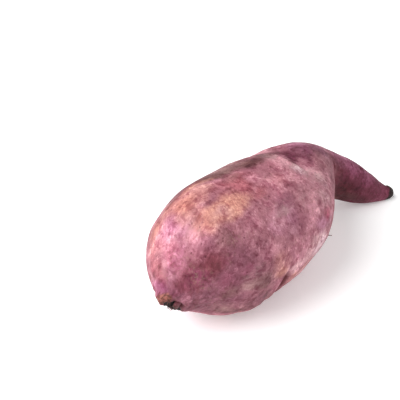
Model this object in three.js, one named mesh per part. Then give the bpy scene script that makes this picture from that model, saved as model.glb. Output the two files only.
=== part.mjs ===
// A purple sweet potato: one swollen storage root, lying on its side.
// Its stem end is blunt, with a torn scar. Past its shoulder it dips, narrows into a neck and
// ends in a tail that hooks sideways.
// Millimetres. +X runs from the stem end towards the tail and +Z is up. The origin is on the
// surface that the root lies on, under the middle of its bounding box.

import * as THREE from "three";

const RINGS = 76; // rings of points from the stem scar to the tail tip
const FACETS = 44; // facets round each ring
const END_RINGS = 3; // rings across the stem scar, and across the tail tip

// The heart of the root at even steps from the stem end to the tail tip, with the half width
// and half height that the flesh round it would have there if both ends weren't rounded off.
const SECTIONS = [
  { heart: [-51, -5, 25], across: 26, upright: 29 },
  { heart: [-28, -1, 30], across: 36, upright: 37 },
  { heart: [0, 1, 30], across: 35, upright: 32 },
  { heart: [28, 2, 29], across: 30, upright: 29 },
  { heart: [56, 10, 28], across: 23, upright: 23 },
  { heart: [82, 15, 24], across: 16, upright: 17 },
  { heart: [105, 4, 11], across: 14, upright: 15 },
  { heart: [126, -8, 1], across: 11, upright: 11 },
];

// Each end stops short of a point: how many degrees of its round end are missing, and how far
// the middle of the end stands out of its rim. The stem scar is hollow.
const SCAR = { opening: 11, bulge: -2 };
const TIP = { opening: 13, bulge: 0.6 };

// Swellings and hollows of the flesh: where each one is centred, as a share of the way along
// and degrees round from the left side over the top, how far it reaches and how high it stands.
const RELIEF = [
  { along: 0.455, round: 92, reach: 13, height: 1.2 }, // brow of the shoulder
  { along: 0.53, round: 98, reach: 11, height: -2.8 }, // dip behind the brow
  { along: 0.5, round: 118, reach: 11, height: -2.2 }, // dip running down its side
  { along: 0.26, round: 196, reach: 7, height: -1.6 }, // notch of an old side root
  { along: 0.81, round: 228, reach: 15, height: -3.4 }, // rise of the tail off the ground
  { along: 0.83, round: 105, reach: 12, height: 1.1 }, // swelling of the tail
  { along: 0.935, round: 112, reach: 8, height: -1.1 }, // slope down to the tip
  { along: 0.2, round: 54, reach: 20, height: 1.6 }, // fullness of the stem end
  { along: 0.33, round: 207, reach: 18, height: -0.8 }, // slope under the notch
  { along: 0.02, round: 232, reach: 13, height: -1.5 }, // slope under the stem end
  { along: 0.62, round: 88, reach: 15, height: 0.8 }, // crest of the neck
  { along: 0.36, round: 288, reach: 34, height: 1.2 }, // belly that it lies on
];

// Shallow furrows that run along the root and wind round it a little: how many, how deep as a
// share of the girth, where the first is at the stem end and how far each winds, in degrees.
const FURROWS = { count: 3, depth: 0.018, start: -11, winding: -132 };

const PRESSED = 0.9; // how much is flat under the belly, where the root rests

const { degToRad, lerp } = THREE.MathUtils;

const heart = new THREE.CatmullRomCurve3(
  SECTIONS.map((section) => new THREE.Vector3(...section.heart)),
  false,
  "catmullrom",
);
const girth = new THREE.SplineCurve(
  SECTIONS.map((section) => new THREE.Vector2(section.across, section.upright)),
);

// The outline of a unit spindle at an angle of its half turn: across is the share of the full
// girth, and the height runs from 0 at the stem end to 1 at the tail tip.
function onSpindle(angle) {
  return new THREE.Vector2(Math.sin(angle), (1 - Math.cos(angle)) / 2);
}

// The outline of an end, from its middle to just short of its rim.
function endOutline(rim, bulge) {
  const outline = [];
  for (let ring = 0; ring < END_RINGS; ring++) {
    const share = ring / END_RINGS;
    const rise = (bulge * (1 - share * share)) / heart.getLength();
    outline.push(new THREE.Vector2(rim.x * share, rim.y + rise));
  }
  return outline;
}

function spindle() {
  const first = degToRad(SCAR.opening);
  const last = Math.PI - degToRad(TIP.opening);
  const side = [];
  for (let ring = 0; ring < RINGS; ring++) {
    side.push(onSpindle(lerp(first, last, ring / (RINGS - 1))));
  }
  const scar = endOutline(onSpindle(first), -SCAR.bulge);
  const tip = endOutline(onSpindle(last), TIP.bulge).reverse();
  return new THREE.LatheGeometry([...scar, ...side, ...tip], FACETS);
}

// The point on the root at a share of the way along and an angle round from the left side over
// the top, with its share of the full girth.
function onRoot(along, round, share) {
  const size = girth.getPoint(along);
  const ahead = heart.getTangent(along);
  const side = new THREE.Vector3(0, 0, 1).cross(ahead).normalize();
  const top = ahead.clone().cross(side);
  const wound = round - degToRad(FURROWS.start + FURROWS.winding * along);
  const full = 1 + FURROWS.depth * Math.cos(FURROWS.count * wound);
  const reach = (share * full) / Math.hypot(Math.cos(round) / size.x, Math.sin(round) / size.y);
  return heart
    .getPoint(along)
    .addScaledVector(side, reach * Math.cos(round))
    .addScaledVector(top, reach * Math.sin(round));
}

// The swellings and hollows, each with its centre on the skin.
function placedRelief() {
  return RELIEF.map((relief) => {
    const outline = onSpindle(Math.acos(1 - 2 * relief.along));
    const centre = onRoot(relief.along, degToRad(relief.round), outline.x);
    return { ...relief, centre };
  });
}

function rootShape() {
  const geometry = spindle();
  const reliefs = placedRelief();
  const place = geometry.attributes.position;
  for (let i = 0; i < place.count; i++) {
    const share = Math.hypot(place.getX(i), place.getZ(i));
    const along = place.getY(i);
    const point = onRoot(along, Math.atan2(place.getX(i), place.getZ(i)), share);
    const outward = point.clone().sub(heart.getPoint(along)).normalize();
    for (const relief of reliefs) {
      const away = point.distanceTo(relief.centre) / relief.reach;
      point.addScaledVector(outward, relief.height * Math.exp(-away * away));
    }
    place.setXYZ(i, point.x, point.y, point.z);
  }
  return geometry;
}

// Puts the underside on the ground, flat where it rests, and the middle over the origin.
function laidDown(geometry) {
  geometry.computeBoundingBox();
  const { min, max } = geometry.boundingBox;
  geometry.translate(-(min.x + max.x) / 2, -(min.y + max.y) / 2, -min.z - PRESSED);
  const place = geometry.attributes.position;
  for (let i = 0; i < place.count; i++) {
    place.setZ(i, Math.max(place.getZ(i), 0));
  }
  return geometry;
}

const skin = new THREE.MeshStandardMaterial({ color: 0x955864, roughness: 0.75, metalness: 0 });
const root = new THREE.Mesh(laidDown(rootShape()), skin);
root.name = "sweet_potato";

const sweetPotato = new THREE.Group();
sweetPotato.add(root);

export default sweetPotato;
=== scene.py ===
import math
import random

import bmesh
import bpy
import numpy as np
from mathutils import Matrix, Vector, noise
from mathutils.bvhtree import BVHTree


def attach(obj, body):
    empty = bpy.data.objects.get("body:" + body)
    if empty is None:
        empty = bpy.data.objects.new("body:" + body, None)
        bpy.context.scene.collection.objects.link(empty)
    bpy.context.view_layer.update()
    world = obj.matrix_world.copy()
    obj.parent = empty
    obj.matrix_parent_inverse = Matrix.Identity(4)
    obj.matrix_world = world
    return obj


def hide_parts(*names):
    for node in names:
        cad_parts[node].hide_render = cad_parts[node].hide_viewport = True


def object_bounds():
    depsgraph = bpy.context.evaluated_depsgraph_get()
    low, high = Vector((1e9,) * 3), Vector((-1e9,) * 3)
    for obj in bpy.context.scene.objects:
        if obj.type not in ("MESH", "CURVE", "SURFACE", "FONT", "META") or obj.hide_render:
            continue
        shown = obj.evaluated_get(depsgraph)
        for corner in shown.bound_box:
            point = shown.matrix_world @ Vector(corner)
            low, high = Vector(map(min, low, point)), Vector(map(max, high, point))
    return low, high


# A purple sweet potato lying on its side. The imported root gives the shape, and this script
# gives it its skin, its creases and eyes, the torn fibres at both ends and a few hair roots.
# Lengths in the dictionaries are millimetres unless a note says otherwise. The stem end is at
# the low x, and the front is at the low y.

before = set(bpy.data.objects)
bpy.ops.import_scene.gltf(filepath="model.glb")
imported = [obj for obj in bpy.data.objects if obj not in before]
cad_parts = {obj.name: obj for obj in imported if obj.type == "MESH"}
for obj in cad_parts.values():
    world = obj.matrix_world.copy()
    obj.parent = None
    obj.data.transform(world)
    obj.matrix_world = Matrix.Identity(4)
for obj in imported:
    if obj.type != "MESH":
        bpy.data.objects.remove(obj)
cadLow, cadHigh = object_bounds()
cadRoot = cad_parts["sweet_potato"]
mm = 0.001
print("packed root loaded:", len(cadRoot.data.polygons), "faces")


def addObject(name, data):
    made = bpy.data.objects.new(name, data)
    bpy.context.scene.collection.objects.link(made)
    return made


def meshOf(name, bm):
    mesh = bpy.data.meshes.new(name)
    bm.to_mesh(mesh)
    bm.free()
    return mesh


def vectorsOf(mesh, field):
    values = np.empty(len(mesh.vertices) * 3)
    mesh.vertices.foreach_get(field, values)
    return values.reshape(-1, 3)


def treeOf(mesh):
    polygons = [polygon.vertices for polygon in mesh.polygons]
    return BVHTree.FromPolygons(vectorsOf(mesh, "co").tolist(), polygons)


def newMaterial(name, plain):
    # plain is what its shader is given all over
    material = bpy.data.materials.new(name)
    material.use_nodes = True
    shader = material.node_tree.nodes["Principled BSDF"]
    for socket, value in plain.items():
        shader.inputs[socket].default_value = value
    return material, material.node_tree, shader


camera = {
    "azimuth": -50,  # degrees from the front, towards the stem end
    "elevation": 30,
    "distance": 550.1,  # from the middle of the root
    "aside": -38.6,  # how far the middle of the view is right of the middle of the root
    "above": 3.1,
    "lens": 105,
}


def fromSide(azimuth, elevation):
    a = math.radians(azimuth)
    e = math.radians(elevation)
    return Vector((math.sin(a) * math.cos(e), -math.cos(a) * math.cos(e), math.sin(e)))


def makeCamera():
    back = fromSide(camera["azimuth"], camera["elevation"])
    turn = back.to_track_quat("Z", "Y")
    offset = Vector((camera["aside"], camera["above"], camera["distance"])) * mm
    seen = addObject("camera", bpy.data.cameras.new("camera"))
    seen.location = (cadLow + cadHigh) / 2 + turn @ offset
    seen.rotation_mode = "QUATERNION"
    seen.rotation_quaternion = turn
    seen.data.lens = camera["lens"]
    bpy.context.scene.camera = seen


makeCamera()
print("camera placed")


# The heart line runs through the middle of the flesh from the stem end to the tail tip. Places
# on the root are given as along, from 0 to 1 down that line, and round, in degrees from the
# back over the top to the front.
heart = {
    "slices": 40, "thickness": 3.5, "smoothing": 6, "steps": 240,
    "batch": 4096,  # how many points are placed at a time
    "beyond": 30,  # outside the skin everywhere
}


def smoothed(line, passes):
    # a run of points, smoothed with its ends kept
    for _ in range(passes):
        line[1:-1] = (line[:-2] + 2 * line[1:-1] + line[2:]) / 4
    return line


def findHeart():
    points = vectorsOf(cadRoot.data, "co")
    low, high = points[:, 0].min() + mm, points[:, 0].max() - mm
    line = []
    for x in np.linspace(low, high, heart["slices"]):
        near = points[abs(points[:, 0] - x) < heart["thickness"] * mm]
        line.append([x, *((near[:, 1:].min(axis=0) + near[:, 1:].max(axis=0)) / 2)])
    line = smoothed(np.array(line), heart["smoothing"])
    run = np.concatenate([[0], np.cumsum(np.linalg.norm(np.diff(line, axis=0), axis=1))])
    even = np.linspace(0, run[-1], heart["steps"])
    line = np.stack([np.interp(even, run, line[:, axis]) for axis in range(3)], axis=1)
    ahead = np.gradient(line, axis=0)
    ahead /= np.linalg.norm(ahead, axis=1)[:, None]
    side = np.cross([0, 0, 1], ahead)
    side /= np.linalg.norm(side, axis=1)[:, None]
    top = np.cross(ahead, side)
    return {"line": line, "ahead": ahead, "side": side, "top": top, "length": run[-1]}


core = findHeart()


def layOf(points):
    # along (0 to 1), round (radians) and distance from the heart line, for each point
    nearest = np.empty(len(points), int)
    for start in range(0, len(points), heart["batch"]):
        part = slice(start, start + heart["batch"])
        away = np.linalg.norm(points[part, None] - core["line"][None], axis=2)
        nearest[part] = away.argmin(axis=1)
    spoke = points - core["line"][nearest]
    ahead = core["ahead"][nearest]
    past = (spoke * ahead).sum(axis=1)
    spoke -= ahead * past[:, None]
    along = nearest / (heart["steps"] - 1) + past / core["length"]
    up = (spoke * core["top"][nearest]).sum(axis=1)
    out = (spoke * core["side"][nearest]).sum(axis=1)
    return along, np.arctan2(up, out), np.hypot(up, out)


def atHeart(along):
    step = min(max(along, 0), 1) * (heart["steps"] - 1)
    place = int(round(step))
    return {key: Vector(core[key][place]) for key in ("line", "ahead", "side", "top")}


def onSkin(tree, along, degrees):
    # the point on the skin at a place, with its normal and the ways along and round it
    here = atHeart(along)
    turn = math.radians(degrees)
    out = here["side"] * math.cos(turn) + here["top"] * math.sin(turn)
    point, normal = tree.ray_cast(here["line"], out)[:2]
    if point is None:
        point, normal = tree.find_nearest(here["line"] + out * heart["beyond"] * mm)[:2]
    ahead = (here["ahead"] - normal * here["ahead"].dot(normal)).normalized()
    return {"point": point, "normal": normal, "ahead": ahead, "about": normal.cross(ahead)}


print("heart line found:", round(core["length"] / mm, 1), "mm")


def softNoise(points, size, seed):
    # smooth noise from about -1 to 1 at each point, with lumps about size across
    shift = Vector((seed * 7.31, seed * 3.17, seed * 5.71))
    return np.array([noise.noise(Vector(point) + shift) for point in points / (size * mm)])


def ease(low, high, value):
    share = np.clip((value - low) / (high - low), 0, 1)
    return share * share * (3 - 2 * share)


def bell(*shares):
    return np.exp(-sum(share * share for share in shares))


def around(points, place):
    # how far each point is from a place: along the root, round it and out of it, in mm
    rel = (points - np.array(place["point"])) / mm
    return [rel @ np.array(place[way]) for way in ("ahead", "about", "normal")]


def patch(points, place, long, wide):
    # 1 in the middle of the place, fading to 0 at long mm along the root and wide mm round it
    ahead, about, out = around(points, place)
    away = np.sqrt((ahead / long) ** 2 + (about / wide) ** 2 + (out / max(long, wide)) ** 2)
    return 1 - ease(0.25, 1, away)


lumps = [  # swellings all over, from the broad ones to the small ones
    {"size": 28, "height": 0.4, "seed": 0},
    {"size": 11, "height": 0.24, "seed": 1},
    {"size": 4.5, "height": 0.1, "seed": 2},
]
swells = [  # local fullness of the flesh, or a hollow in it: along and round, reach, height
    {"at": (0.2, 220), "reach": (9, 9), "height": 0.9},
    {"at": (0.405, 200), "reach": (17, 11), "height": -0.8},
    {"at": (0.94, 140), "reach": (10, 7), "height": 0.35},
    {"at": (0.87, 222), "reach": (12, 6), "height": -0.3},
    {"at": (0.152, 38), "reach": (14, 16), "height": -0.9},
]
# The skin's lines are laid out round a rod of one radius. At both ends the rod takes the real
# radius and the wrinkles deepen, and by the stem end the lines run into the scar. Each pair
# says where along the root that fades in or out.
wrinkles = {
    "girth": 25, "leastSpoke": 0.01,
    "tapered": {"stem": (0.02, 0.12), "tail": (0.62, 0.85)},
    "deeper": {"stem": (0.02, 0.2), "tail": (0.6, 0.95)},
    "toScar": (0.03, 0.2),
    "lengthwise": {"size": 3.2, "stretch": 7, "height": 0.07, "atEnds": 0.2, "seed": 5},
    "crosswise": {"size": 2.2, "stretch": 6, "height": 0.05, "atNeck": 0.22, "seed": 6},
    "neck": {"at": (0.72, 205), "reach": (24, 26)},
}
# Creases run through a few places on the skin. The near side faces the stem end. Each lip
# stands this high, and its top is this far from the bottom of the crease.
creases = {
    "notch": {
        "path": [(0.289, 187), (0.281, 195), (0.272, 204), (0.268, 214), (0.274, 225), (0.284, 237)],
        "depth": 2.4, "width": 1.3, "nearLip": 0.75, "farLip": 0.2, "lipOff": 3.3, "dark": 1.0,
    },
    "besideNotch": {
        "path": [(0.256, 178), (0.246, 186), (0.244, 194)],
        "depth": 0.55, "width": 0.8, "nearLip": 0.2, "farLip": 0.1, "lipOff": 1.8, "dark": 0.25,
    },
    "fold": {
        "path": [(0.51, 72), (0.478, 86), (0.468, 97), (0.482, 108), (0.52, 118)],
        "depth": 1.5, "width": 2.3, "nearLip": 1.0, "farLip": 0.0, "lipOff": 3.6, "dark": 0.0,
    },
    "stemEnd": {
        "path": [(0.035, 12), (0.028, 350), (0.03, 330)],
        "depth": 0.5, "width": 0.8, "nearLip": 0.2, "farLip": 0.2, "lipOff": 1.8, "dark": 0.4,
    },
    "neckInside": {
        "path": [(0.735, 170), (0.728, 195), (0.735, 222)],
        "depth": 0.7, "width": 1.3, "nearLip": 0.25, "farLip": 0.25, "lipOff": 2.6, "dark": 0.3,
    },
    "back": {
        "path": [(0.42, 318), (0.408, 335), (0.415, 352)],
        "depth": 1.0, "width": 1.0, "nearLip": 0.4, "farLip": 0.2, "lipOff": 2.3, "dark": 0.7,
    },
}
creaseForm = {
    "points": 40, "smoothing": 10,
    "fade": 0.3,  # the share of its length that each end takes to fade
    "beyond": (1.5, 3.5),  # and the distances past its ends between which it fades
    "reach": 4,  # how far from it the skin is moved, in lipOffs
    "uneven": 0.3, "unevenSize": 3, "seed": 21,  # how much it wavers, in widths
    "lipSharp": 1.6,
    # The darkening on the far side of a crease is partly its own dark tissue and partly painted shade.
    "wall": 0.8, "wallWide": 1.3,  # the dark far side, in widths
}
eyes = {
    "rows": 5, "first": 25, "winding": -130,  # degrees over the whole length
    "start": 0.08, "step": 0.13, "end": 0.95, "jitter": 0.04, "sway": 9, "seed": 11, "apart": 11,
    "aboveGround": 4,  # lower down there are none
    "wide": 1.9, "long": 0.75, "depth": 0.38, "lip": 0.2, "lipBack": 1.6, "size": (0.5, 1.1),
    "lipLong": 1.3, "curl": 0.4, "through": 4,
    "dark": 0.75, "darkLong": 0.7, "darkWide": 1.1,
    # Between these places round and up to this place along there are only the placed ones.
    "clear": (85, 215), "clearTo": 0.7,
    "placed": [(0.284, 113, 0.4), (0.396, 117, 0.45), (0.533, 141, 0.5), (0.3, 181, 0.45)],
}
# The stem scar, on the face of the stem end: across is to the left and up is up from its
# middle. Each patch is an oval with its half width and half height, the slope of its long
# way, and how deep it lies. A depth below 0 stands out.
scar = {
    "rim": 5.2,
    "hollow": 2.0, "crown": 0.3,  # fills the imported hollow, and stands over it
    "behind": (5, 9),  # how far behind the face it fades
    "warp": 0.6, "warpSize": 1.7, "warpSeeds": (12, 13),
    "patches": ["heel", "chin", "rust", "pit", "lobe", "nick"],
    "heel": {"across": 3.2, "up": 0.3, "half": (6.2, 3.8), "slope": -0.42, "depth": -1.75},
    "rust": {"across": 1.7, "up": 1.6, "half": (4.8, 3.0), "slope": -0.35, "depth": 0},
    "chin": {"across": -3.0, "up": -6.5, "half": (7.0, 5.0), "slope": 0, "depth": -0.3},
    # The pit's near-black tint is partly its dried torn flesh and partly painted shade of the hollow
    # along the bottom edge.
    "pit": {"across": -0.8, "up": -3.7, "half": (3.6, 6.0), "slope": 0.05, "depth": 0.4},
    "lobe": {"across": -3.2, "up": -1.7, "half": (1.3, 1.9), "slope": 0, "depth": -1.5},
    "nick": {"across": 4.1, "up": 2.3, "half": (1.0, 0.8), "slope": 0.3, "depth": 0.6},
    "edge": (0.6, 1.1),  # the shares of an oval between which its shape fades
    "tintEdge": (0.3, 0.7),  # and the part of that fade in which its tint does
    "unshown": ("heel", "chin"),  # these two have no tint of their own
    "ring": {"at": 1.3, "wide": 0.4, "depth": 0.7, "strength": 0.8},  # a crease round the lobe
    "ringUneven": {"size": 1.4, "height": 0.4, "seed": 18},
    "stain": (1.0, 1.4),  # round the pit
    "fibres": {"stretch": (1.6, 0.7, 0.5), "size": 1.0, "height": 0.4, "seed": 14},
    "puckers": {"count": 13, "height": 0.16, "reach": 6},
    "puckersWander": {"size": 8, "height": 3, "seed": 15},
}
tip = {  # the torn end of the tail
    "rim": 4.5, "outside": (1, 3),
    "back": 4.0, "edge": 0.5,  # how far back from the very end it is torn
    "ragged": {"size": 1.6, "height": 0.9, "seed": 16},
    "torn": {"size": 1.7, "height": 0.5, "seed": 17},
    "longer": 1.3,
}
rounding = {
    "flat": 60,  # degrees between two packed triangles that become one face
    "poleEdges": 10,  # more edges than this meet only in the middle of an end
    "levels": 2,
}
refine = {"notch": 9, "notchStep": 6, "eyes": 2.6, "scar": 9, "tip": 6}  # how far round each
ground = (0.2, 5)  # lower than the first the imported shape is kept, over the second it is free


def unevenness(points, kind):
    return kind["height"] * softNoise(points, kind["size"], kind["seed"])


def patchAt(points, kind):
    return patch(points, onSkin(skinTree, *kind["at"]), *kind["reach"])


def roughSkin():
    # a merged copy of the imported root, rounded by subdivision
    bm = bmesh.new()
    bm.from_mesh(cadRoot.data)
    bmesh.ops.remove_doubles(bm, verts=bm.verts, dist=0.001 * mm)
    flat = math.radians(rounding["flat"])
    bmesh.ops.join_triangles(bm, faces=bm.faces, angle_face_threshold=flat, angle_shape_threshold=flat)
    poles = [vert for vert in bm.verts if len(vert.link_edges) > rounding["poleEdges"]]
    poles.sort(key=lambda vert: vert.co.x)
    ends = [{"point": pole.co.copy(), "out": pole.normal.copy()} for pole in poles]
    rough = addObject("rough", meshOf("skin", bm))
    rounder = rough.modifiers.new("rounding", "SUBSURF")
    rounder.levels = rounder.render_levels = rounding["levels"]
    bpy.context.view_layer.update()
    rounded = rough.evaluated_get(bpy.context.evaluated_depsgraph_get())
    smooth = bpy.data.meshes.new_from_object(rounded)
    bpy.data.objects.remove(rough)
    return smooth, ends


def eyePlaces():
    draw = random.Random(eyes["seed"])
    spots = []
    for along, degrees, size in eyes["placed"]:
        spots.append({**onSkin(skinTree, along, degrees), "size": size})
    low, high = eyes["clear"]
    for row in range(eyes["rows"]):
        along = eyes["start"] + eyes["step"] * draw.random()
        while along < eyes["end"]:
            degrees = eyes["first"] + 360 / eyes["rows"] * row + eyes["winding"] * along
            degrees = (degrees + draw.uniform(-eyes["sway"], eyes["sway"])) % 360
            spot = {**onSkin(skinTree, along, degrees), "size": draw.uniform(*eyes["size"])}
            alone = all((spot["point"] - other["point"]).length > eyes["apart"] * mm for other in spots)
            kept = along < eyes["clearTo"] and low < degrees < high
            if alone and not kept and spot["point"].z > eyes["aboveGround"] * mm:
                spots.append(spot)
            along += eyes["step"] + draw.uniform(-1, 1) * eyes["jitter"]
    return spots


def creaseLine(crease):
    # points along a crease on the skin, with the way down the root at each
    alongs, degrees = np.array(crease["path"]).T
    ends = np.linspace(0, 1, len(alongs))
    places = []
    for share in np.linspace(0, 1, creaseForm["points"]):
        place = onSkin(skinTree, np.interp(share, ends, alongs), np.interp(share, ends, degrees))
        places.append([*place["point"], *place["ahead"]])
    return smoothed(np.array(places), creaseForm["smoothing"])


def refined(mesh, ends):
    # twice as many edges round the small shapes
    near = [(spot["point"], refine["eyes"]) for spot in eyeSpots]
    near += [(ends[0]["point"], refine["scar"]), (ends[1]["point"], refine["tip"])]
    notch = creaseLine(creases["notch"])[::refine["notchStep"]]
    near += [(Vector(place[:3]), refine["notch"] / 2) for place in notch]
    bm = bmesh.new()
    bm.from_mesh(mesh)
    chosen = set()
    for centre, reach in near:
        for edge in bm.edges:
            if (edge.verts[0].co - centre).length < reach * mm:
                chosen.add(edge)
    bmesh.ops.subdivide_edges(bm, edges=list(chosen), cuts=1, use_grid_fill=True)
    bm.to_mesh(mesh)
    bm.free()


smoothSkin, rootEnds = roughSkin()
stemEnd, tailEnd = rootEnds
skinTree = treeOf(smoothSkin)
eyeSpots = eyePlaces()
refined(smoothSkin, rootEnds)
print("skin rounded and refined:", len(smoothSkin.vertices), "points,", len(eyeSpots), "eyes")


def eyeShape(points, spot):
    # height and darkness of an eye, a short curved dent with a lip on its tail side
    ahead, about, out = around(points, spot)
    size = spot["size"]
    wide = about / (eyes["wide"] * size)
    curl = ahead + eyes["curl"] * wide * wide
    through = out / eyes["through"]
    dent = bell(curl / (eyes["long"] * size), wide, through)
    lip = bell((curl - eyes["lipBack"] * size) / (eyes["lipLong"] * size), wide, through)
    dark = bell(curl / (eyes["darkLong"] * size), about / (eyes["darkWide"] * size), through)
    return size * (eyes["lip"] * lip - eyes["depth"] * dent), eyes["dark"] * dark


def creaseShape(points, crease):
    # height and darkness of a crease at each point
    form = creaseForm
    lipOff, width = crease["lipOff"], crease["width"]
    line = creaseLine(crease)
    height = np.zeros(len(points))
    dark = np.zeros(len(points))
    reach = form["reach"] * lipOff * mm
    box = (points > line[:, :3].min(axis=0) - reach) & (points < line[:, :3].max(axis=0) + reach)
    near = np.flatnonzero(box.all(axis=1))
    rel = points[near][:, None] - line[None, :, :3]
    closest = np.linalg.norm(rel, axis=2).argmin(axis=1)
    rel = rel[np.arange(len(near)), closest] / mm
    ahead = (rel * line[closest, 3:]).sum(axis=1)
    away = np.linalg.norm(rel, axis=1)
    share = closest / (len(line) - 1)
    fade = ease(0, form["fade"], share) * (1 - ease(1 - form["fade"], 1, share))
    fade = fade * (1 - ease(*form["beyond"], away - abs(ahead)))
    uneven = form["uneven"] * width * softNoise(points[near], form["unevenSize"], form["seed"])
    bottom = bell((ahead + uneven) / width)
    nearLip = bell((ahead + lipOff) / lipOff * form["lipSharp"])
    farLip = bell((ahead - lipOff) / lipOff * form["lipSharp"])
    raised = crease["nearLip"] * nearLip + crease["farLip"] * farLip
    height[near] = fade * (raised - crease["depth"] * bottom)
    # darker on the far wall: partly dark tissue, partly painted shade in the crease
    wall = ahead + uneven - form["wall"] * width
    dark[near] = fade * crease["dark"] * bell(wall / (form["wallWide"] * width))
    return height, dark


def waysOf(end):
    # the ways out of the face of an end, to the left on it and up it
    left = end["out"].cross(Vector((0, 0, 1))).normalized()
    return end["out"], left, left.cross(end["out"])


def onEnd(end, points):
    # how far each point is out of the face of an end, to the left and up, in mm
    rel = (points - np.array(end["point"])) / mm
    return [rel @ np.array(way) for way in waysOf(end)]


def fromSpot(spot, across, up):
    # 0 in the middle of an oval on the scar, 1 on its edge
    rise = up - spot["up"] - spot["slope"] * (across - spot["across"])
    return np.hypot((across - spot["across"]) / spot["half"][0], rise / spot["half"][1])


def scarShape(points):
    # how far out the stem scar stands at each point, and its masks
    out, across, up = onEnd(stemEnd, points)
    close = 1 - ease(*scar["behind"], -out)
    away = np.hypot(across, up)
    inside = np.clip(1 - (away / scar["rim"]) ** 2, 0, 1)
    height = (scar["hollow"] + scar["crown"]) * inside
    moved = [scar["warp"] * softNoise(points, scar["warpSize"], seed) for seed in scar["warpSeeds"]]
    far = {name: fromSpot(scar[name], across + moved[0], up + moved[1]) for name in scar["patches"]}
    masks = {name: (1 - ease(*scar["edge"], share)) * close for name, share in far.items()}
    masks["rust"] *= 1 - masks["pit"]
    for name, mask in masks.items():
        height -= scar[name]["depth"] * mask
    ring = scar["ring"]
    masks["ring"] = bell((far["lobe"] - ring["at"]) / ring["wide"]) * close
    masks["ring"] = masks["ring"] * (ring["strength"] + unevenness(points, scar["ringUneven"]))
    height -= ring["depth"] * masks["ring"]
    masks["stain"] = (1 - ease(*scar["stain"], far["pit"])) * close
    drawnOut = np.stack([across, up, out], axis=1) * scar["fibres"]["stretch"] * mm
    height += unevenness(drawnOut, scar["fibres"]) * np.maximum(masks["rust"], masks["pit"])
    masks.update({name: ease(*scar["tintEdge"], masks[name]) for name in scar["patches"]})
    puckers = scar["puckers"]
    turned = np.arctan2(up, across)
    radial = np.cos(puckers["count"] * turned + unevenness(points, scar["puckersWander"]))
    beyond = np.clip(away - scar["rim"], 0, None) / puckers["reach"]
    height += puckers["height"] * radial * bell(beyond) * (1 - inside) * close
    shown = {name: mask for name, mask in masks.items() if name not in scar["unshown"]}
    return height * close, shown


def tipShape(points):
    # how far the torn end of the tail stands out at each point, and its mask
    out, across, up = onEnd(tailEnd, points)
    away = np.hypot(across, up)
    ragged = unevenness(points, tip["ragged"])
    mask = 1 - ease(tip["back"] - tip["edge"], tip["back"] + tip["edge"], ragged - out)
    mask *= 1 - ease(*(tip["rim"] + past for past in tip["outside"]), away)
    longer = tip["longer"] * np.clip(1 - (away / tip["rim"]) ** 2, 0, 1)
    return (longer + unevenness(points, tip["torn"])) * mask, mask


def nearEnds(along, span):
    # 1 at both ends of the root, fading to 0 over the two stretches
    return 1 - ease(*span["stem"], along) + ease(*span["tail"], along)


def layOut(points, along, turn, away):
    # each point on the rod that the skin's lines are laid out on
    girth = wrinkles["girth"] * mm
    girth = girth + (away - girth) * nearEnds(along, wrinkles["tapered"])
    _, across, up = onEnd(stemEnd, points)
    toScar = 1 - ease(*wrinkles["toScar"], along)
    least = wrinkles["leastSpoke"]
    spoke = np.stack([across, up], axis=1) / np.hypot(across, up).clip(least)[:, None]
    straight = np.stack([np.cos(turn), np.sin(turn)], axis=1)
    spoke = straight + (spoke - straight) * toScar[:, None]
    rim = girth[:, None] * spoke / np.linalg.norm(spoke, axis=1).clip(least)[:, None]
    return np.column_stack([along * core["length"], rim])


def wrinkle(points, along, lay):
    # the two runs of wrinkles, lengthwise and crosswise
    way = wrinkles["lengthwise"]
    run = softNoise(lay * [1 / way["stretch"], 1, 1], way["size"], way["seed"])
    lengthwise = run * (way["height"] + way["atEnds"] * nearEnds(along, wrinkles["deeper"]))
    way = wrinkles["crosswise"]
    run = softNoise(lay * [1, 1 / way["stretch"], 1 / way["stretch"]], way["size"], way["seed"])
    return lengthwise, run * (way["height"] + way["atNeck"] * patchAt(points, wrinkles["neck"]))


def sculptSkin(mesh):
    points, normals = vectorsOf(mesh, "co"), vectorsOf(mesh, "normal")
    along, turn, away = layOf(points)
    lay = layOut(points, along, turn, away)

    height = np.zeros(len(points))
    for lump in lumps:
        height += unevenness(points, lump)
    for run in wrinkle(points, along, lay):
        height += run
    dents = [eyeShape(points, spot) for spot in eyeSpots]
    dents += [creaseShape(points, crease) for crease in creases.values()]
    pits = np.zeros(len(points))
    for rise, dark in dents:
        height += rise
        pits = np.maximum(pits, dark)
    for swell in swells:
        height += swell["height"] * patchAt(points, swell)
    scarRise, masks = scarShape(points)
    height *= 1 - np.maximum(masks["rust"], masks["pit"])
    tipRise, masks["tip"] = tipShape(points)
    height += tipRise

    settle = ease(*ground, points[:, 2] / mm)
    points += normals * (height * settle * mm)[:, None]
    points += np.array(stemEnd["out"]) * (scarRise * mm)[:, None]
    points[:, 2] = np.maximum(points[:, 2], 0)
    mesh.vertices.foreach_set("co", points.ravel())
    mesh.update()
    return points, lay, {**masks, "crease": pits}


skinPoints, skinLay, skinMasks = sculptSkin(smoothSkin)
root = addObject("root_skin", smoothSkin)
smoothSkin.shade_smooth()
print("skin sculpted")


# Tones are written as they look on a screen.
tones = {
    "mauve": "9c6670", "rose": "b87c89", "blush": "cb8f99", "frost": "d3a8ab", "salmon": "c38b85",
    "tan": "cc9280", "orchid": "bd8298", "cherry": "b4526c", "brick": "9d5961", "bloom": "955a6e",
    "plum": "82505e", "damson": "764452", "maroon": "70353f", "wine": "733649", "heather": "955573",
    "ash": "94706f", "umber": "70494b", "earth": "5a3533", "soil": "b49384", "pit": "501318",
    "char": "1e1515", "soot": "1a0a09", "coal": "3a2b29", "rust": "955c53", "bark": "5a352d",
    "clay": "a4665d", "sand": "d6a08c", "garnet": "4a151e", "mulberry": "642a40", "milk": "ecd0d4",
}
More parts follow.
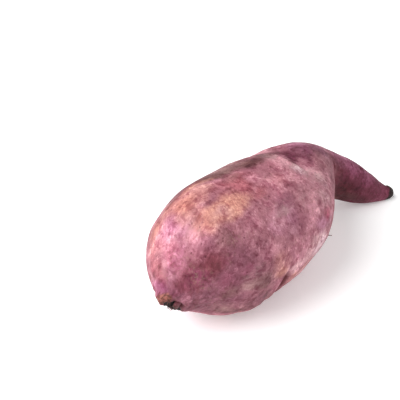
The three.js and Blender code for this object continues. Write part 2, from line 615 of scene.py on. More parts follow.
# Dabs of tone: along, round, how far each reaches along and round in mm, its tone and its
# strength. Later ones lie over earlier ones. Most of the places come from lists that another
# program printed of where the tone was furthest off.
# Many of the dabs on the side that faces the camera carry painted light and shade as well as the skin's
# tone, as each part below says.
placedDabs = [
    # the top of the stem end; its pale dabs (milk, sand, frost, blush) are partly painted highlight and
    # sheen where it faces the key light, most of all along its far left rim
    (0.08, 55, 22, 14, "salmon", 0.8), (0.06, 81, 17, 11, "orchid", 0.95),
    (0.165, 79, 16, 8, "salmon", 0.95), (0.165, 51, 18, 8, "ash", 0.3), (0.2, 57, 24, 8, "clay", 0.9),
    (0.156, 59, 7, 6, "brick", 0.6), (0.045, 75, 14, 12, "blush", 0.45),
    (0.031, 61, 10, 8, "blush", 0.85), (0.05, 56, 9, 9, "salmon", 0.4), (0.031, 62, 9, 7, "milk", 0.45),
    (0.07, 52, 7, 5, "salmon", 0.35), (0.081, 43, 7, 6, "clay", 0.5), (0.061, 57, 6, 6, "orchid", 0.4),
    (0.12, 76, 10, 7, "clay", 0.85), (0.115, 89, 6, 6, "tan", 0.6), (0.122, 95, 6, 5, "bloom", 0.4),
    (0.166, 109, 6, 5, "sand", 0.4), (0.163, 45, 15, 7, "milk", 0.6), (0.12, 36, 9, 8, "frost", 0.3),
    (0.19, 52, 10, 5, "milk", 0.3), (0.06, 89, 6, 5, "frost", 0.4), (0.093, 86, 6, 5, "sand", 0.35),
    (0.155, 41, 13, 7, "sand", 0.45), (0.12, 57, 7, 6, "clay", 0.7), (0.185, 117, 6, 5, "clay", 0.35),
    (0.162, 58, 6, 5, "clay", 0.3), (0.045, 92, 6, 5, "frost", 0.3), (0.155, 106, 6, 5, "sand", 0.4),
    (0.192, 101, 6, 5, "clay", 0.4), (0.236, 78, 6, 5, "rose", 0.7), (0.15, 88, 6, 5, "salmon", 0.6),
    (0.045, 91, 7, 6, "blush", 0.8), (0.028, 84, 10, 9, "orchid", 0.5),
    # the tan ridge on it
    (0.135, 110, 16, 8, "sand", 0.8), (0.2, 109, 16, 8, "tan", 0.85), (0.08, 114, 9, 6, "rose", 0.9),
    (0.155, 108, 7, 6, "sand", 0.9), (0.122, 103, 8, 6, "clay", 0.5), (0.1, 111, 7, 5, "clay", 0.8),
    (0.157, 110, 6, 5, "frost", 0.4), (0.078, 118, 6, 5, "blush", 0.5), (0.093, 125, 6, 5, "bloom", 0.4),
    # round the scar
    (0.037, 100, 9, 8, "cherry", 0.4), (0.047, 107, 7, 5, "bloom", 0.5), (0.035, 120, 7, 6, "bloom", 0.6),
    (0.059, 130, 8, 6, "rose", 0.9), (0.002, 122, 8, 8, "damson", 1.0),
    (0.002, 100, 5, 4, "heather", 0.8), (0.0, 150, 8, 8, "damson", 0.85), (0.013, 116, 6, 5, "plum", 0.8),
    (0.008, 188, 9, 8, "damson", 0.75), (0.004, 168, 5, 5, "bloom", 0.5),
    (0.003, 30, 6, 5, "heather", 0.6), (0.007, 345, 7, 7, "heather", 0.6),
    (0.008, 217, 7, 6, "mauve", 0.4), (0.03, 222, 8, 5, "rose", 0.2), (0.023, 6, 4, 4, "frost", 0.4),
    # painted highlight on the left rim
    (0.028, 59, 7, 6, "milk", 0.5),
    # the dark side below the ridge: partly its own deeper tone, partly painted shade that darkens it
    # towards the bottom
    (0.105, 160, 27, 18, "damson", 0.85), (0.082, 197, 24, 13, "damson", 0.85),
    (0.05, 226, 16, 8, "damson", 0.8), (0.06, 146, 13, 9, "maroon", 0.95),
    (0.026, 157, 10, 8, "maroon", 0.95), (0.032, 157, 9, 8, "wine", 0.9),
    (0.036, 157, 6, 6, "mulberry", 0.4), (0.069, 145, 9, 7, "maroon", 0.4),
    (0.058, 131, 5, 4, "rose", 0.4), (0.111, 132, 7, 6, "umber", 0.6), (0.09, 175, 7, 6, "wine", 0.5),
    (0.156, 174, 8, 7, "damson", 0.95), (0.153, 172, 7, 6, "wine", 0.85), (0.146, 187, 5, 4, "ash", 0.8),
    (0.182, 184, 10, 6, "umber", 0.85), (0.208, 211, 15, 7, "umber", 0.8),
    (0.2, 206, 9, 7, "damson", 0.8), (0.11, 194, 7, 6, "umber", 0.7), (0.121, 206, 7, 6, "damson", 0.7),
    (0.12, 220, 16, 7, "umber", 0.6), (0.125, 224, 6, 4, "ash", 0.6), (0.136, 223, 8, 5, "umber", 0.6),
    (0.204, 161, 7, 6, "rose", 0.7), (0.239, 165, 6, 5, "blush", 0.5), (0.25, 198, 6, 5, "rose", 0.5),
    (0.195, 136, 7, 6, "rose", 0.6),
    # round the notch and under it; the frost and sand band below it is a painted highlight along the
    # lower right edge
    (0.25, 178, 10, 8, "salmon", 0.8), (0.246, 187, 6, 4, "tan", 0.6), (0.313, 175, 15, 9, "rose", 0.85),
    (0.288, 195, 6, 5, "blush", 0.5), (0.34, 190, 16, 6, "frost", 0.65),
    (0.312, 203, 8, 6, "salmon", 0.7), (0.36, 199, 12, 6, "sand", 0.45), (0.342, 182, 6, 5, "mauve", 0.6),
    (0.372, 190, 7, 6, "rose", 0.45), (0.345, 205, 8, 4, "frost", 0.6), (0.33, 193, 5, 4, "rose", 0.75),
    (0.317, 201, 5, 4, "clay", 0.6),
    # the middle of the side; the frost and milk dabs near its right edge are a painted highlight, the
    # light from the right and off the floor
    (0.39, 156, 22, 11, "rose", 0.85), (0.325, 155, 9, 7, "plum", 0.4), (0.332, 131, 8, 7, "bloom", 0.6),
    (0.27, 144, 9, 8, "rose", 0.85), (0.265, 145, 8, 7, "orchid", 0.5), (0.272, 144, 6, 5, "frost", 0.4),
    (0.324, 146, 7, 6, "orchid", 0.5), (0.292, 125, 6, 5, "rose", 0.6), (0.3, 136, 6, 5, "plum", 0.8),
    (0.305, 155, 7, 6, "plum", 0.5), (0.417, 143, 6, 5, "blush", 0.6), (0.4, 184, 15, 9, "frost", 1.0),
    (0.4, 187, 9, 5, "milk", 0.9), (0.412, 187, 8, 8, "milk", 0.75), (0.383, 180, 6, 5, "frost", 0.5),
    (0.432, 198, 8, 6, "milk", 0.4), (0.414, 168, 7, 5, "orchid", 0.7), (0.411, 166, 6, 5, "orchid", 0.4),
    (0.421, 135, 6, 5, "blush", 0.4), (0.446, 167, 8, 5, "orchid", 0.5),
    (0.448, 163, 6, 4, "cherry", 0.8),
    # the top of the thick part and its far edge. The umber, earth and maroon dabs along the far edge are
    # a painted shadow, the shade that neighbouring roots cast there, and the blush dabs on the brow are
    # partly painted highlight
    (0.265, 92, 17, 9, "brick", 0.95), (0.3, 66, 26, 9, "umber", 0.8), (0.38, 78, 15, 7, "umber", 0.85),
    (0.27, 65, 11, 9, "umber", 0.9), (0.278, 63, 7, 5, "maroon", 0.4), (0.284, 66, 16, 8, "earth", 0.75),
    (0.367, 79, 8, 6, "earth", 0.6), (0.272, 86, 8, 6, "umber", 0.5), (0.251, 103, 7, 6, "brick", 0.6),
    (0.278, 97, 6, 5, "brick", 0.7), (0.302, 92, 6, 6, "maroon", 0.4), (0.33, 89, 6, 5, "plum", 0.5),
    (0.277, 111, 6, 5, "maroon", 0.3), (0.313, 97, 6, 5, "blush", 0.95), (0.34, 108, 7, 4, "blush", 0.9),
    (0.284, 114, 7, 4, "brick", 0.6), (0.3, 111, 6, 5, "brick", 0.5), (0.335, 119, 8, 6, "blush", 0.8),
    (0.348, 116, 6, 5, "blush", 0.6), (0.373, 110, 7, 6, "brick", 0.4), (0.178, 65, 8, 4, "sand", 0.4),
    (0.205, 66, 8, 4, "sand", 0.25), (0.232, 70, 6, 4, "tan", 0.35), (0.446, 76, 7, 6, "umber", 0.4),
    (0.313, 91, 6, 5, "brick", 0.35), (0.418, 90, 6, 5, "blush", 0.45), (0.321, 99, 6, 5, "blush", 0.4),
    (0.267, 98, 6, 5, "brick", 0.4),
    # the shoulder; its blush, frost and milk dabs are partly painted highlight where it faces the light,
    # and the umber dab on its far edge is painted shadow of neighbouring roots
    (0.478, 133, 18, 13, "blush", 0.95), (0.432, 119, 10, 8, "blush", 0.9),
    (0.455, 151, 9, 6, "blush", 1.0), (0.533, 143, 9, 7, "blush", 0.6), (0.516, 160, 8, 6, "blush", 0.7),
    (0.508, 136, 7, 6, "frost", 0.85), (0.445, 92, 6, 13, "blush", 0.85),
    (0.41, 102, 9, 10, "blush", 0.6), (0.457, 113, 6, 6, "frost", 0.9), (0.442, 113, 5, 5, "milk", 0.5),
    (0.48, 129, 9, 7, "blush", 0.5), (0.462, 150, 8, 6, "frost", 0.95), (0.445, 76, 9, 8, "umber", 0.9),
    (0.5, 138, 7, 6, "frost", 0.4), (0.469, 165, 6, 5, "blush", 0.6),
    # the dip behind it and the neck; the wine, mulberry and damson dabs in the dip are partly painted
    # shade
    (0.545, 97, 10, 12, "wine", 0.95), (0.53, 80, 9, 9, "wine", 0.9), (0.53, 112, 7, 6, "rose", 0.8),
    (0.56, 97, 8, 9, "mulberry", 0.6), (0.55, 105, 5, 4, "rose", 0.5), (0.51, 87, 4, 4, "rose", 0.6),
    (0.575, 69, 7, 6, "rose", 0.7), (0.635, 88, 15, 10, "bloom", 0.9), (0.594, 92, 8, 8, "damson", 0.85),
    (0.622, 93, 8, 7, "heather", 0.5), (0.675, 111, 10, 8, "heather", 0.5),
    (0.735, 156, 7, 7, "maroon", 0.6), (0.62, 79, 10, 5, "orchid", 0.6), (0.645, 84, 9, 5, "orchid", 0.6),
    (0.7, 98, 14, 5, "orchid", 0.6), (0.73, 103, 9, 5, "rose", 0.4), (0.6, 88, 7, 5, "damson", 0.6),
    # the tail; the garnet and earth dabs low on it are partly painted shade, the shadow of the thick part
    # near its base, and the bloom and heather dabs on its top partly painted highlight
    (0.843, 101, 24, 7, "bloom", 0.8), (0.905, 128, 15, 6, "bloom", 0.45),
    (0.775, 118, 10, 7, "bloom", 0.85), (0.82, 125, 9, 8, "heather", 0.5),
    (0.885, 140, 9, 7, "heather", 0.3), (0.8, 109, 14, 5, "orchid", 0.4),
    (0.838, 123, 7, 5, "damson", 0.35), (0.806, 227, 7, 6, "orchid", 0.35),
    (0.848, 216, 7, 5, "ash", 0.4), (0.79, 200, 14, 12, "garnet", 0.85),
    (0.825, 232, 15, 7, "garnet", 0.8), (0.86, 218, 20, 5, "earth", 0.4),
    (0.89, 196, 12, 7, "garnet", 0.5), (0.765, 150, 9, 7, "garnet", 0.5), (0.795, 160, 7, 6, "wine", 0.6),
    (0.778, 131, 7, 5, "bloom", 0.5), (0.81, 190, 10, 8, "garnet", 0.5),
]
colouring = {
    "base": "mauve",
    "tail": {"tone": "wine", "from": 0.66, "to": 0.8},
    "cleanTail": {"share": 0.85, "from": 0.62, "to": 0.78},  # the tail holds less soil
    "lift": (1.1, 1.09, 1.1),  # makes up for what the mottling takes away
    "warp": [  # moves the edges of the dabs about
        {"size": 13, "shift": 1.5, "from": 30}, {"size": 4.5, "shift": 1.5, "from": 34.1},
    ],
    "warpSeed": 1,
    # The rest of the skin is dabbed at random.
    "random": {
        "count": 46, "seed": 5, "along": (0, 0.74), "round": (215, 415),
        "reach": (8, 20), "flatter": 0.7, "strength": (0.35, 0.85),
        "tones": ["salmon", "orchid", "tan", "brick", "plum", "maroon", "rose", "ash", "blush"],
    },
    # Rubbed places: along, round, reach along and round, strength.
    "rubbed": [
        (0.445, 92, 9, 16, 0.9), (0.49, 124, 15, 11, 0.9), (0.40, 140, 14, 9, 0.6),
        (0.31, 135, 14, 8, 0.6), (0.38, 195, 26, 8, 0.45), (0.165, 176, 9, 8, 0.6),
        (0.1, 105, 16, 9, 0.4), (0.3, 330, 22, 14, 0.7), (0.55, 290, 18, 12, 0.6),
        (0.7, 30, 16, 10, 0.6), (0.15, 270, 16, 12, 0.5),
    ],
}


def tone(name):
    # the linear red, green and blue of a tone
    code = tones[name]
    parts = [int(code[start:start + 2], 16) / 255 for start in (0, 2, 4)]
    return [part / 12.92 if part <= 0.04045 else ((part + 0.055) / 1.055) ** 2.4 for part in parts]


def allDabs():
    dabs = list(placedDabs)
    chance = colouring["random"]
    draw = random.Random(chance["seed"])
    for _ in range(chance["count"]):
        along, turn = draw.uniform(*chance["along"]), draw.uniform(*chance["round"])
        long, wide = draw.uniform(*chance["reach"]), draw.uniform(*chance["reach"]) * chance["flatter"]
        name = draw.choice(chance["tones"])
        dabs.append((along, turn, long, wide, name, draw.uniform(*chance["strength"])))
    return dabs


def flushOf(points, along):
    # the tone of the skin at each point before its fine mottling, with the painted light and shade that
    # some of the dabs carry
    noise.seed_set(colouring["warpSeed"])  # the noise vectors would start from the clock
    moved = points.copy()
    for warp in colouring["warp"]:
        shift = Vector((warp["from"], 0, 0))
        bent = [noise.noise_vector(Vector(point) + shift) for point in points / (warp["size"] * mm)]
        moved += np.array(bent) * warp["shift"] * mm
    flush = np.tile(tone(colouring["base"]), (len(points), 1))
    tail = colouring["tail"]
    toTail = ease(tail["from"], tail["to"], along)[:, None]
    flush += (np.array(tone(tail["tone"])) - flush) * toTail
    for dabAlong, degrees, long, wide, name, strength in allDabs():
        share = patch(moved, onSkin(skinTree, dabAlong, degrees), long, wide)[:, None] * strength
        flush += (np.array(tone(name)) - flush) * share
    return flush * colouring["lift"]


def rubbedAt(points):
    # how much the skin is rubbed at each point
    share = np.zeros(len(points))
    for along, degrees, long, wide, strength in colouring["rubbed"]:
        share = np.maximum(share, strength * patch(points, onSkin(skinTree, along, degrees), long, wide))
    return share


def addAttribute(mesh, name, kind, values):
    field = {"FLOAT": "value", "FLOAT_VECTOR": "vector", "FLOAT_COLOR": "color"}[kind]
    attribute = mesh.attributes.new(name, kind, "POINT")
    attribute.data.foreach_set(field, np.asarray(values, np.float32).ravel())


def colourSkin(mesh, points, lay, masks):
    # everything that the skin's material reads, put on its points
    along = lay[:, 0] / core["length"]
    flush = flushOf(points, along)
    addAttribute(mesh, "lay", "FLOAT_VECTOR", lay / mm / 10)  # in centimetres
    addAttribute(mesh, "flush", "FLOAT_COLOR", np.hstack([flush, np.ones((len(flush), 1))]))
    clean = colouring["cleanTail"]
    dusty = 1 - clean["share"] * ease(clean["from"], clean["to"], along)
    for name, mask in {**masks, "rubbed": rubbedAt(points), "dusty": dusty}.items():
        addAttribute(mesh, name, "FLOAT", mask)


colourSkin(smoothSkin, skinPoints, skinLay, skinMasks)
print("skin coloured:", len(allDabs()), "dabs")


def addNode(tree, kind, inputs=None, **settings):
    node = tree.nodes.new("ShaderNode" + kind)
    for name, value in settings.items():
        setattr(node, name, value)
    for socket, value in (inputs or {}).items():
        if isinstance(value, bpy.types.NodeSocket):
            tree.links.new(value, node.inputs[socket])
        else:
            node.inputs[socket].default_value = value
    return node


def mixTones(tree, share, first, second, way="MIX"):
    # inputs 0, 6 and 7 of a colour Mix node are its factor and its two colours, and output 2
    # is the mixed colour
    inputs = {0: share, 6: first, 7: second}
    return addNode(tree, "Mix", inputs, data_type="RGBA", blend_type=way).outputs[2]


def work(tree, operation, first, second):
    return addNode(tree, "Math", {0: first, 1: second}, operation=operation).outputs[0]


def times(tree, first, second):
    return work(tree, "MULTIPLY", first, second)


# The group sockets that hold something other than a plain number.
socketKinds = {"Vector": "Vector", "Stretch": "Vector", "Color": "Color", "Soil": "Color"}


def newGroup(name, inputs, output):
    tree = bpy.data.node_groups.new(name, "ShaderNodeTree")
    for way, labels in (("INPUT", inputs), ("OUTPUT", [output])):
        for label in labels:
            kind = "NodeSocket" + socketKinds.get(label, "Float")
            tree.interface.new_socket(name=label, in_out=way, socket_type=kind)
    given, made = tree.nodes.new("NodeGroupInput"), tree.nodes.new("NodeGroupOutput")
    return tree, given.outputs, made.inputs[output]


def useGroup(tree, name, inputs):
    return addNode(tree, "Group", inputs, node_tree=bpy.data.node_groups[name]).outputs[0]


def makeBlotches():
    # soft-edged patches of noise: 0 below Low and 1 above High
    tree, given, made = newGroup("blotches", ["Vector", "Scale", "Detail", "Low", "High"], "Mask")
    cloud = addNode(tree, "TexNoise", {
        "Vector": given["Vector"], "Scale": given["Scale"], "Detail": given["Detail"],
        "Roughness": 0.6, "Distortion": 0.35,
    })
    edge = addNode(tree, "MapRange", {
        "Value": cloud.outputs[0], "From Min": given["Low"], "From Max": given["High"],
    }, interpolation_type="SMOOTHSTEP")
    tree.links.new(edge.outputs[0], made)


def makeFlecks():
    # round spots: one in some of the cells of a pattern
    tree, given, made = newGroup("flecks", ["Vector", "Scale", "Radius", "Share"], "Mask")
    cells = addNode(tree, "TexVoronoi", {"Vector": given["Vector"], "Scale": given["Scale"]}).outputs
    solid = times(tree, given["Radius"], 0.35)
    spot = addNode(tree, "MapRange", {
        "Value": cells["Distance"], "From Min": solid, "From Max": given["Radius"],
        "To Min": 1.0, "To Max": 0.0,
    }, interpolation_type="SMOOTHSTEP")
    chosen = work(tree, "LESS_THAN", cells["Color"], given["Share"])
    tree.links.new(times(tree, spot.outputs[0], chosen), made)


def makeGrain():
    # fine lines that run the way the pattern is stretched
    tree, given, made = newGroup("grain", ["Vector", "Stretch", "Scale"], "Mask")
    drawn = addNode(tree, "VectorMath", {0: given["Vector"], 1: given["Stretch"]}, operation="MULTIPLY")
    lines = addNode(tree, "TexNoise", {
        "Vector": drawn.outputs[0], "Scale": given["Scale"], "Detail": 3.0, "Roughness": 0.65,
    })
    edge = addNode(tree, "MapRange", {"Value": lines.outputs[0], "From Min": 0.3, "From Max": 0.7})
    tree.links.new(edge.outputs[0], made)


def makeDust():
    # dry soil that clings in patches
    tree, given, made = newGroup("dust", ["Color", "Soil", "Vector", "Amount"], "Color")
    film = {"Vector": given["Vector"], "Scale": 0.9, "Detail": 5.0, "Low": 0.42, "High": 0.72}
    grit = {"Vector": given["Vector"], "Scale": 8.0, "Detail": 3.0, "Low": 0.42, "High": 0.7}
    mask = times(tree, useGroup(tree, "blotches", film), useGroup(tree, "blotches", grit))
    mask = times(tree, mask, given["Amount"])
    tree.links.new(mixTones(tree, mask, given["Color"], given["Soil"]), made)


makeBlotches()
makeFlecks()
makeGrain()
makeDust()


def opaque(values):
    return (*values, 1)


def twoTones(tree, share, first, second):
    return mixTones(tree, share, opaque(tone(first)), opaque(tone(second)))


def placeIn(tree):
    # Object coordinates in centimetres
    place = addNode(tree, "TexCoord").outputs["Object"]
    return addNode(tree, "Mapping", {"Vector": place, "Scale": (100, 100, 100)}).outputs[0]


def dusted(tree, tint, place, amount):
    return useGroup(tree, "dust", {
        "Color": tint, "Soil": opaque(tone("soil")), "Vector": place, "Amount": amount,
    })


def finishSurface(tree, shader, finish, tint, wear, relief):
    # wear is 0 where the surface is smoothest and 1 where it is roughest
    low, high = finish["roughness"]
    rough = addNode(tree, "MapRange", {"Value": wear, "To Min": low, "To Max": high})
    bump = addNode(tree, "Bump", {
        "Height": relief, "Strength": finish["bump"], "Distance": finish["bumpDepth"] * mm,
    })
    tree.links.new(tint, shader.inputs["Base Color"])
    tree.links.new(rough.outputs[0], shader.inputs["Roughness"])
    tree.links.new(bump.outputs[0], shader.inputs["Normal"])


skinFinish = {
    # The mottling, in the order that it goes on. A layer lies on the skin's own lines or in
    # the flesh. Its tone multiplies the skin inside its patches, and its gap tone between them.
    "mottling": {
        "clouds": {
            "blotches": {"Scale": 0.9, "Detail": 4.0, "Low": 0.36, "High": 0.64}, "on": "lines",
            "share": 1.0, "tone": (1.22, 1.26, 1.24), "gap": (0.76, 0.66, 0.7),
        },
        "mottles": {
            "blotches": {"Scale": 2.2, "Detail": 4.0, "Low": 0.5, "High": 0.64}, "on": "flesh",
            "share": 0.9, "tone": (0.66, 0.48, 0.55),
        },
        "flecks": {
            "blotches": {"Scale": 3.4, "Detail": 3.0, "Low": 0.53, "High": 0.66}, "on": "lines",
            "share": 0.9, "tone": (1.34, 1.52, 1.46),
        },
        "specks": {
            "blotches": {"Scale": 5.0, "Detail": 2.0, "Low": 0.54, "High": 0.64}, "on": "lines",
            "share": 0.8, "tone": (0.7, 0.58, 0.6),
        },
        "grit": {
            "blotches": {"Scale": 8.0, "Detail": 2.0, "Low": 0.5, "High": 0.6}, "on": "flesh",
            "share": 0.6, "tone": (0.8, 0.7, 0.73),
        },
        "chaff": {
            "blotches": {"Scale": 7.0, "Detail": 2.0, "Low": 0.54, "High": 0.64}, "on": "lines",
            "share": 0.6, "tone": (1.2, 1.34, 1.3),
        },
        "fine": {
            "blotches": {"Scale": 9.5, "Detail": 3.0, "Low": 0.32, "High": 0.68}, "on": "flesh",
            "share": 1.0, "tone": (1.04, 1.06, 1.05), "gap": (0.95, 0.93, 0.94),
        },
        "streaks": {
            "grain": {"Stretch": (0.16, 1, 1), "Scale": 7.0}, "on": "lines",
            "share": 1.0, "tone": (1.04, 1.05, 1.05), "gap": (0.95, 0.93, 0.94),
        },
    },
    "rubs": {"grain": {"Stretch": (0.25, 1, 1), "Scale": 4.5}, "on": "lines", "share": 0.75},
    "spots": {
        "pores": {
            "flecks": {"Scale": 4.3, "Radius": 0.16, "Share": 0.35}, "on": "flesh",
            "share": 0.8, "tone": (1.35, 1.32, 1.2),
        },
        "dots": {
            "flecks": {"Scale": 3.1, "Radius": 0.17, "Share": 0.42}, "on": "lines",
            "share": 0.85, "tone": (0.5, 0.38, 0.4),
        },
    },
    "dust": 0.3,
    # In the creases this darkening is partly painted shade; in the eyes it is their own dark marks.
    "pits": 0.9,  # how dark the creases and eyes are
    "torn": {"grain": {"Stretch": (0.3, 1, 1), "Scale": 9.0}, "on": "flesh"},
    "curled": {"blotches": {"Scale": 7.0, "Detail": 4.0, "Low": 0.38, "High": 0.62}, "on": "flesh"},
    "scarTones": {"nick": "maroon", "lobe": "umber", "ring": "garnet"},
    "stain": {"share": 0.9, "tone": (0.6, 0.5, 0.48)},
    "relief": {"streaks": 0.5, "mottles": -0.35, "dots": -1.0},  # besides the fine layer
    "roughness": (0.62, 0.82), "bump": 0.35, "bumpDepth": 0.4,
    "plain": {"Specular IOR Level": 0.22},
}


def makeSkinMaterial():
    finish = skinFinish
    material, tree, shader = newMaterial("skin", finish["plain"])

    def attribute(name, output="Fac"):
        return addNode(tree, "Attribute", attribute_name=name).outputs[output]

    def maskOf(layer):
        group = next(name for name in ("blotches", "grain", "flecks") if name in layer)
        return useGroup(tree, group, {"Vector": on[layer["on"]], **layer[group]})

    def mottle(tint, mask, layer):
        change = mixTones(tree, mask, opaque(layer.get("gap", (1, 1, 1))), opaque(layer["tone"]))
        return mixTones(tree, layer["share"], tint, change, "MULTIPLY")

    on = {"lines": attribute("lay", "Vector"), "flesh": placeIn(tree)}
    layers = {**finish["mottling"], **finish["spots"]}
    masks = {name: maskOf(layer) for name, layer in layers.items()}
    tint = attribute("flush", "Color")
    for name, layer in finish["mottling"].items():
        tint = mottle(tint, masks[name], layer)
    rubs = maskOf(finish["rubs"])
    rubs = times(tree, times(tree, rubs, rubs), attribute("rubbed"))
    tint = mixTones(tree, times(tree, rubs, finish["rubs"]["share"]), tint, opaque(tone("frost")))
    for name, layer in finish["spots"].items():
        tint = mottle(tint, masks[name], layer)
    tint = dusted(tree, tint, on["flesh"], times(tree, attribute("dusty"), finish["dust"]))
    # darker in the creases (partly painted shade) and in the eyes
    pits = times(tree, attribute("crease"), finish["pits"])
    tint = mixTones(tree, pits, tint, opaque(tone("pit")))

    torn, curled = maskOf(finish["torn"]), maskOf(finish["curled"])
    tint = mixTones(tree, attribute("rust"), tint, twoTones(tree, curled, "bark", "rust"))
    for name, scarTone in finish["scarTones"].items():
        tint = mixTones(tree, attribute(name), tint, opaque(tone(scarTone)))
    tint = mottle(tint, attribute("stain"), finish["stain"])
    # black in the scar's pit: partly dried torn flesh, partly painted shade of the hollow at the bottom
    # edge
    tint = mixTones(tree, attribute("pit"), tint, twoTones(tree, torn, "soot", "char"))
    tint = mixTones(tree, attribute("tip"), tint, twoTones(tree, torn, "char", "coal"))

    relief = masks["fine"]
    for name, share in finish["relief"].items():
        relief = work(tree, "ADD", relief, times(tree, masks[name], share))
    finishSurface(tree, shader, finish, tint, masks["fine"], relief)
    return material


smoothSkin.materials.clear()
smoothSkin.materials.append(makeSkinMaterial())
print("skin material made")


fibreFinish = {
    "lines": {"Stretch": (0.4, 1, 1), "Scale": 18.0}, "dust": 0.6,
    "roughness": (0.65, 0.9), "bump": 0.5, "bumpDepth": 0.1,
    "plain": {"Specular IOR Level": 0.3},
}
strands = {
    "sides": 5, "cuts": 4,
    "stem": {"count": 16, "length": (0.8, 2.0), "width": (0.25, 0.5), "spread": 0.5, "seed": 3},
    "tail": {"count": 9, "length": (0.6, 1.5), "width": (0.25, 0.45), "spread": 0.6, "seed": 4},
    "tailMiddle": {"across": 0, "up": 0.8, "half": (2.2, 1.5)},  # on the face of the tail end
    "torn": {
        "outside": 12,  # the skin under a fibre is looked for from here
        "sunk": 0.3, "bend": 0.4, "taper": 0.4,
    },
    "hairs": {
        "width": 0.6, "tipWidth": 0.22, "sunk": 0.4, "seed": 8,
        "leanAlong": (-0.5, 0.9), "leanRound": (-0.6, 0.6), "lean": 0.6, "bend": 0.7, "droop": 0.25,
        # along, round, length
        "places": [
            (0.4675, 193, 2.1), (0.66, 262, 5), (0.52, 318, 6), (0.3, 338, 4.5), (0.84, 20, 5),
            (0.88, 335, 5), (0.73, 350, 7), (0.22, 2, 3.5),
        ],
    },
}


def makeFibreMaterial(name, dark, pale):
    material, tree, shader = newMaterial(name, fibreFinish["plain"])
    place = placeIn(tree)
    lines = useGroup(tree, "grain", {"Vector": place, **fibreFinish["lines"]})
    tint = dusted(tree, twoTones(tree, lines, dark, pale), place, fibreFinish["dust"])
    finishSurface(tree, shader, fibreFinish, tint, lines, lines)
    return material


def addStrand(bm, base, out, bend, length, width, tipWidth):
    # a thin tapering strand that leaves base along out and bends towards bend
    earlier = len(bm.verts)
    cone = bmesh.ops.create_cone(
        bm, cap_ends=True, segments=strands["sides"], radius1=width / 2 * mm, radius2=tipWidth / 2 * mm,
        depth=length * mm, matrix=Matrix.Translation((0, 0, length / 2 * mm)),
    )
    edges = {edge for vert in cone["verts"] for edge in vert.link_edges}
    sides = [edge for edge in edges if abs(edge.verts[0].co.z - edge.verts[1].co.z) > length / 2 * mm]
    bmesh.ops.subdivide_edges(bm, edges=sides, cuts=strands["cuts"])
    bm.verts.ensure_lookup_table()
    turn = out.to_track_quat("Z", "Y")
    for vert in bm.verts[earlier:]:
        share = vert.co.z / (length * mm)
        vert.co = base + turn @ vert.co + bend * (share * share * length * mm)


def finishStrands(name, bm, material):
    mesh = meshOf(name, bm)
    mesh.materials.append(material)
    mesh.shade_smooth()
    piece = addObject(name, mesh)
    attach(piece, "root")


def tornFibres(name, kind, end, where, material):
    # short torn fibres that stand out of an oval on an end
    torn = strands["torn"]
    draw = random.Random(kind["seed"])
    bm = bmesh.new()
    out, left, up = waysOf(end)
    for _ in range(kind["count"]):
        turn, reach = draw.uniform(0, math.tau), math.sqrt(draw.random())
        across = where["across"] + where["half"][0] * reach * math.cos(turn)
        rise = where["up"] + where["half"][1] * reach * math.sin(turn)
        start = end["point"] + (left * across + up * rise + out * torn["outside"]) * mm
        base = sculptedTree.ray_cast(start, -out)[0]
        lean = (left * draw.uniform(-1, 1) + up * draw.uniform(-1, 1)) * kind["spread"]
        way = (out + lean).normalized()
        width = draw.uniform(*kind["width"])
        bend = (left * draw.uniform(-1, 1) - up * draw.random()) * torn["bend"]
        base -= way * torn["sunk"] * mm
        addStrand(bm, base, way, bend, draw.uniform(*kind["length"]), width, width * torn["taper"])
    finishStrands(name, bm, material)


def hairRoots(material):
    hairs = strands["hairs"]
    draw = random.Random(hairs["seed"])
    bm = bmesh.new()
    for along, degrees, length in hairs["places"]:
        place = onSkin(sculptedTree, along, degrees)
        leanAlong = place["ahead"] * draw.uniform(*hairs["leanAlong"])
        lean = leanAlong + place["about"] * draw.uniform(*hairs["leanRound"])
        out = (place["normal"] + lean * hairs["lean"]).normalized()
        bend = lean * hairs["bend"] + Vector((0, 0, -hairs["droop"]))
        base = place["point"] - out * hairs["sunk"] * mm
        addStrand(bm, base, out, bend, length, hairs["width"], hairs["tipWidth"])
    finishStrands("hair_roots", bm, material)


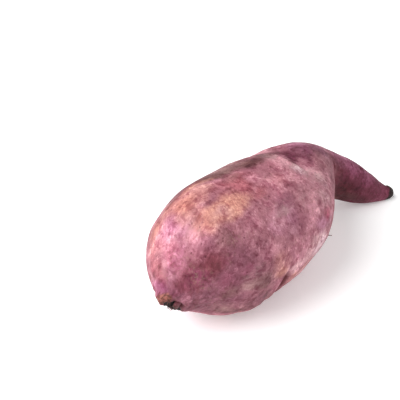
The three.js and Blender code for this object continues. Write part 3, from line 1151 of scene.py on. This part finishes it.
sculptedTree = treeOf(smoothSkin)
fibre = makeFibreMaterial("torn_fibre", "char", "bark")
hair = makeFibreMaterial("hair_root", "char", "rust")
tornFibres("stem_fibres", strands["stem"], stemEnd, scar["pit"], fibre)
tornFibres("tail_fibres", strands["tail"], tailEnd, strands["tailMiddle"], fibre)
hairRoots(hair)
print("fibres and hair roots made")


studio = {
    "floor": 6,  # half its width, in metres
    "paint": {
        "Base Color": (0.93, 0.93, 0.93, 1), "Roughness": 0.9,
        "Emission Color": (1, 1, 1, 1), "Emission Strength": 0.26,
    },
    # A light's distance and size are in metres, and its power is in watts.
    "key": {"azimuth": -112, "elevation": 42, "away": 1.2, "size": 1.3, "power": 23},
    "fill": {"azimuth": -5, "elevation": 45, "away": 1.5, "size": 1.6, "power": 6},
    "sky": 0.36,
    "backdrop": 0.57,  # how bright the sky looks behind the floor
}


def makeFloor():
    bm = bmesh.new()
    bmesh.ops.create_grid(bm, x_segments=1, y_segments=1, size=studio["floor"])
    mesh = meshOf("floor", bm)
    mesh.materials.append(newMaterial("pale_floor", studio["paint"])[0])
    floor = addObject("floor", mesh)


def makeLight(name):
    place = studio[name]
    data = bpy.data.lights.new(name, "AREA")
    data.shape = "DISK"
    data.size = place["size"]
    data.energy = place["power"]
    light = addObject(name, data)
    back = fromSide(place["azimuth"], place["elevation"])
    light.location = (cadLow + cadHigh) / 2 + back * place["away"]
    light.rotation_euler = back.to_track_quat("Z", "Y").to_euler()


def makeSky():
    world = bpy.data.worlds.new("studio")
    world.use_nodes = True
    tree = world.node_tree
    background = tree.nodes["Background"]
    background.inputs["Color"].default_value = (1, 1, 1, 1)
    seen = addNode(tree, "LightPath").outputs["Is Camera Ray"]
    strength = addNode(tree, "MapRange", {
        "Value": seen, "To Min": studio["sky"], "To Max": studio["backdrop"],
    })
    tree.links.new(strength.outputs[0], background.inputs["Strength"])
    bpy.context.scene.world = world


makeFloor()
makeLight("key")
makeLight("fill")
makeSky()
bpy.context.scene.view_settings.view_transform = "Standard"
print("floor and light set")


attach(root, "root")
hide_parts("sweet_potato")
